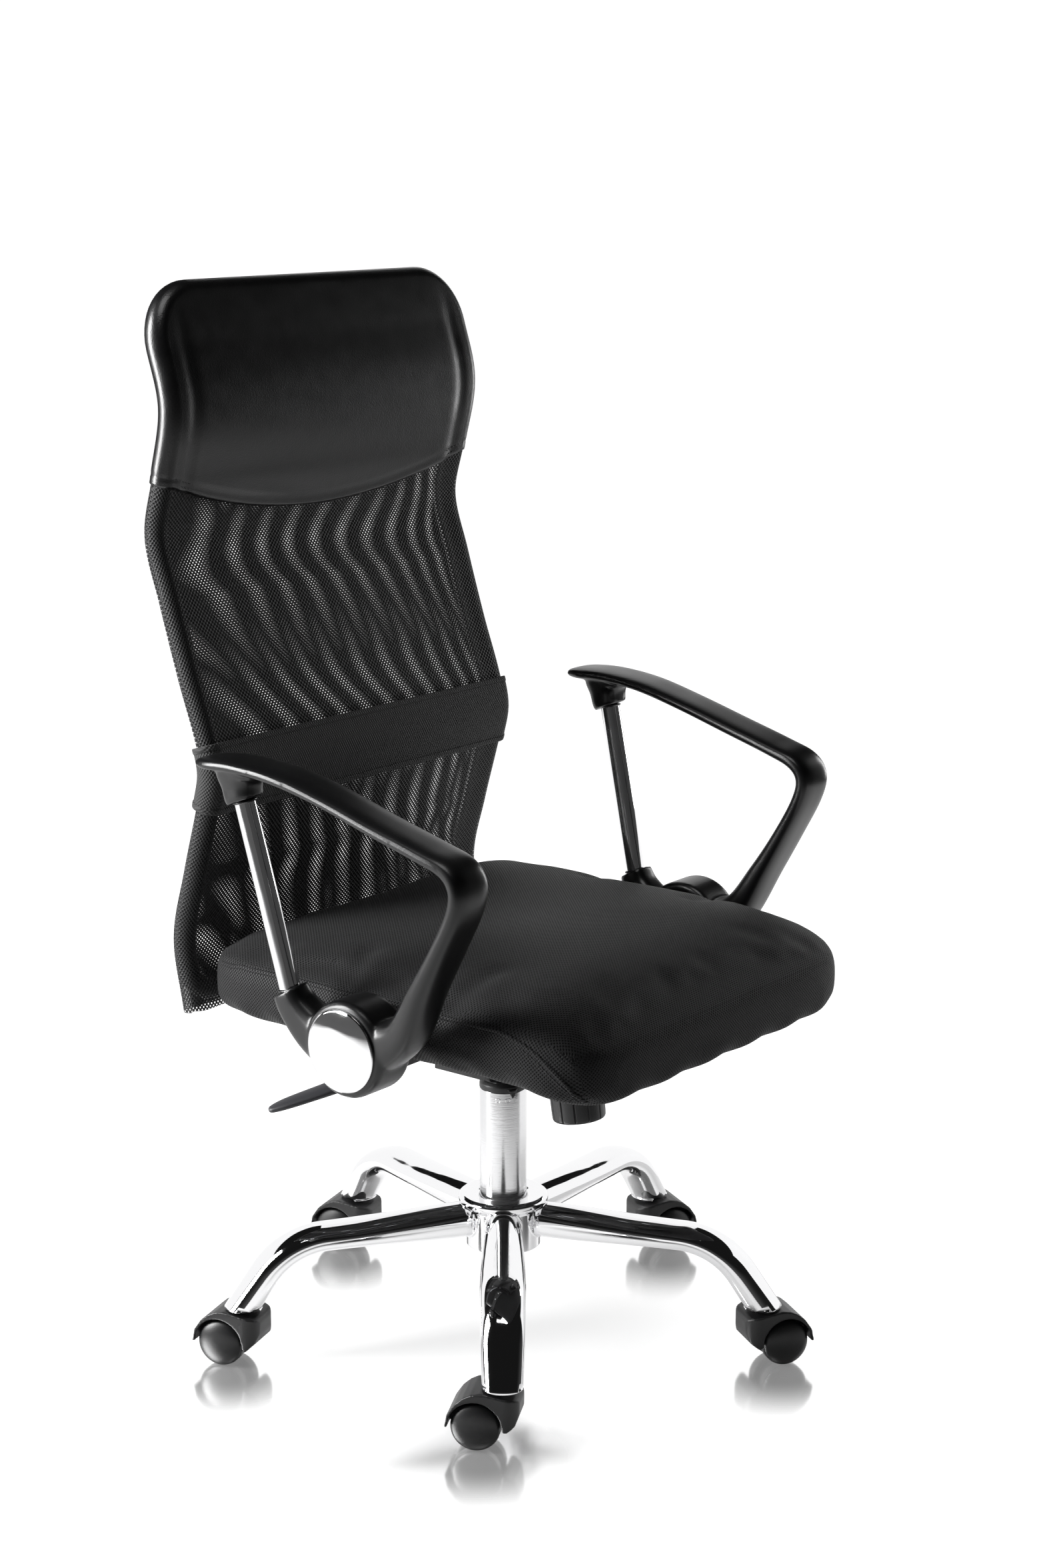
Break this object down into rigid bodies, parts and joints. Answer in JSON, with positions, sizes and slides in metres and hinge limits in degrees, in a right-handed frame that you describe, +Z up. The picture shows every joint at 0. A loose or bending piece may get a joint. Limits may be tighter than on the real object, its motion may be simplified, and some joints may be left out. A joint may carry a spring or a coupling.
{
  "type": "swivel office chair",
  "caption": "Swivel office chair with an S-curved mesh back, padded headrest, loop arms with chrome struts, gas lift, tilt mechanism and a star base on hooded twin-wheel casters.",
  "frame": {"origin": "on the floor, on the axis of the column", "axes": "+Z up, the chair faces -Y, and the sitter's left is +X"},
  "size_m": [0.6627, 0.6411, 1.1166],
  "materials": {
    "chrome_plate": "polished chrome plate",
    "chrome_column": "satin-polished chrome tube",
    "zinc_steel": "zinc plated",
    "polished_rod": "ground and polished",
    "black_plastic": "moulded, fine texture",
    "lever_plastic": "moulded, satin",
    "arm_plastic": "moulded, satin",
    "caster_nylon": "moulded nylon",
    "wheel_nylon": "moulded nylon, satin",
    "black_paint": "black powder coat",
    "spring_steel": "oiled",
    "brass": "turned",
    "rubber": "moulded",
    "plywood": "pressed plywood",
    "seat_mesh_fabric": "black spacer mesh",
    "back_mesh_fabric": "black open mesh",
    "band_fabric": "dense black weave",
    "black_leather": "soft grained, semi-gloss"
  },
  "bodies": {
    "base": {"hub": "chrome_plate", "base_legs": "chrome_plate", "stem_sockets": "zinc_steel", "caster_stems": "zinc_steel", "column_tube": "chrome_column", "guide_bushing": "black_plastic", "thrust_bearing": "zinc_steel"},
    "lift_rod": {"piston_rod": "polished_rod", "rod_clip": "zinc_steel", "rubber_bumper": "rubber"},
    "carriage": {"gas_cylinder": "polished_rod", "mechanism_housing": "black_paint", "tension_spring": "spring_steel"},
    "valve": {"release_pin": "brass"},
    "lever_slider": {"lever_bush": "black_plastic", "lever_pin": "zinc_steel"},
    "lever": {"height_lever": "zinc_steel", "lever_paddle": "lever_plastic"},
    "seat": {"tilt_pin": "zinc_steel", "seat_plate": "black_paint", "tension_bolt": "zinc_steel", "seat_board": "plywood", "seat_cushion": "seat_mesh_fabric", "frame_straps": "black_paint", "back_frame": "black_paint", "lumbar_bar": "black_plastic", "back_mesh": "back_mesh_fabric", "lumbar_band": "band_fabric", "headrest_cover": "black_leather", "arm_brackets": "black_paint", "armrest_right": "arm_plastic", "armrest_left": "arm_plastic", "arm_brace_right": "chrome_plate", "arm_brace_left": "chrome_plate", "arm_bolts": "zinc_steel", "arm_discs": "chrome_plate", "seat_bolts": "zinc_steel"},
    "knob": {"tension_knob": "black_plastic"},
    "caster_1": {"caster_hood_1": "caster_nylon", "caster_axle_1": "zinc_steel"},
    "wheel_1a": {"wheel_1a": "wheel_nylon"},
    "wheel_1b": {"wheel_1b": "wheel_nylon"},
    "caster_2": {"caster_hood_2": "caster_nylon", "caster_axle_2": "zinc_steel"},
    "wheel_2a": {"wheel_2a": "wheel_nylon"},
    "wheel_2b": {"wheel_2b": "wheel_nylon"},
    "caster_3": {"caster_hood_3": "caster_nylon", "caster_axle_3": "zinc_steel"},
    "wheel_3a": {"wheel_3a": "wheel_nylon"},
    "wheel_3b": {"wheel_3b": "wheel_nylon"},
    "caster_4": {"caster_hood_4": "caster_nylon", "caster_axle_4": "zinc_steel"},
    "wheel_4a": {"wheel_4a": "wheel_nylon"},
    "wheel_4b": {"wheel_4b": "wheel_nylon"},
    "caster_5": {"caster_hood_5": "caster_nylon", "caster_axle_5": "zinc_steel"},
    "wheel_5a": {"wheel_5a": "wheel_nylon"},
    "wheel_5b": {"wheel_5b": "wheel_nylon"}
  },
  "joints": [
    {"name": "seat_swivel", "type": "hinge", "parent": "base", "child": "lift_rod", "pos_m": [0, 0, 0.1], "axis": [0, 0, 1], "continuous": true},
    {"name": "gas_lift", "type": "slide", "parent": "lift_rod", "child": "carriage", "axis": [0, 0, 1], "range_m": [0, 0.1]},
    {"name": "seat_tilt", "type": "hinge", "parent": "carriage", "child": "seat", "pos_m": [0, -0.03, 0.348], "axis": [-1, 0, 0], "range_deg": [0, 10], "stiffness_Nm_per_rad": 80, "springref_deg": -28.65, "deforming": ["tension_spring"]},
    {"name": "tilt_lock", "type": "slide", "parent": "carriage", "child": "lever_slider", "axis": [-1, 0, 0], "range_m": [0, 0.008]},
    {"name": "height_lever", "type": "hinge", "parent": "lever_slider", "child": "lever", "pos_m": [-0.034, 0, 0.349], "axis": [0, 1, 0], "range_deg": [0, 5], "stiffness_Nm_per_rad": 1.5, "springref_deg": -11.46},
    {"name": "valve_press", "type": "slide", "parent": "carriage", "child": "valve", "axis": [0, 0, -1], "range_m": [0, 0.004]},
    {"name": "tension_turn", "type": "hinge", "parent": "seat", "child": "knob", "pos_m": [0, -0.088, 0.354], "axis": [0, 0.1392, 0.9903], "range_deg": [-720, 720]},
    {"name": "caster_swivel_1", "type": "hinge", "parent": "base", "child": "caster_1", "pos_m": [-0.21943, -0.17392, 0.05], "axis": [0, 0, 1], "continuous": true},
    {"name": "wheel_roll_1a", "type": "hinge", "parent": "caster_1", "child": "wheel_1a", "pos_m": [-0.2307, -0.15273, 0.025], "axis": [-0.8829, -0.4695, 0], "continuous": true},
    {"name": "wheel_roll_1b", "type": "hinge", "parent": "caster_1", "child": "wheel_1b", "pos_m": [-0.2307, -0.15273, 0.025], "axis": [-0.8829, -0.4695, 0], "continuous": true},
    {"name": "caster_swivel_2", "type": "hinge", "parent": "base", "child": "caster_2", "pos_m": [0.0976, -0.26244, 0.05], "axis": [0, 0, 1], "continuous": true},
    {"name": "wheel_roll_2a", "type": "hinge", "parent": "caster_2", "child": "wheel_2a", "pos_m": [0.11773, -0.27551, 0.025], "axis": [0.5446, 0.8387, 0], "continuous": true},
    {"name": "wheel_roll_2b", "type": "hinge", "parent": "caster_2", "child": "wheel_2b", "pos_m": [0.11773, -0.27551, 0.025], "axis": [0.5446, 0.8387, 0], "continuous": true},
    {"name": "caster_swivel_3", "type": "hinge", "parent": "base", "child": "caster_3", "pos_m": [0.27975, 0.01172, 0.05], "axis": [0, 0, 1], "continuous": true},
    {"name": "wheel_roll_3a", "type": "hinge", "parent": "caster_3", "child": "wheel_3a", "pos_m": [0.30074, 0.00009, 0.025], "axis": [0.4848, 0.8746, 0], "continuous": true},
    {"name": "wheel_roll_3b", "type": "hinge", "parent": "caster_3", "child": "wheel_3b", "pos_m": [0.30074, 0.00009, 0.025], "axis": [0.4848, 0.8746, 0], "continuous": true},
    {"name": "caster_swivel_4", "type": "hinge", "parent": "base", "child": "caster_4", "pos_m": [0.0753, 0.26969, 0.05], "axis": [0, 0, 1], "continuous": true},
    {"name": "wheel_roll_4a", "type": "hinge", "parent": "caster_4", "child": "wheel_4a", "pos_m": [0.06909, 0.29287, 0.025], "axis": [-0.9659, -0.2588, 0], "continuous": true},
    {"name": "wheel_roll_4b", "type": "hinge", "parent": "caster_4", "child": "wheel_4b", "pos_m": [0.06909, 0.29287, 0.025], "axis": [-0.9659, -0.2588, 0], "continuous": true},
    {"name": "caster_swivel_5", "type": "hinge", "parent": "base", "child": "caster_5", "pos_m": [-0.23322, 0.15495, 0.05], "axis": [0, 0, 1], "continuous": true},
    {"name": "wheel_roll_5a", "type": "hinge", "parent": "caster_5", "child": "wheel_5a", "pos_m": [-0.24024, 0.1779, 0.025], "axis": [-0.9563, -0.2924, 0], "continuous": true},
    {"name": "wheel_roll_5b", "type": "hinge", "parent": "caster_5", "child": "wheel_5b", "pos_m": [-0.24024, 0.1779, 0.025], "axis": [-0.9563, -0.2924, 0], "continuous": true}
  ],
  "couplings": [
    {"joint": "valve_press", "follows": "height_lever", "m_per_rad": 0.042}
  ]
}
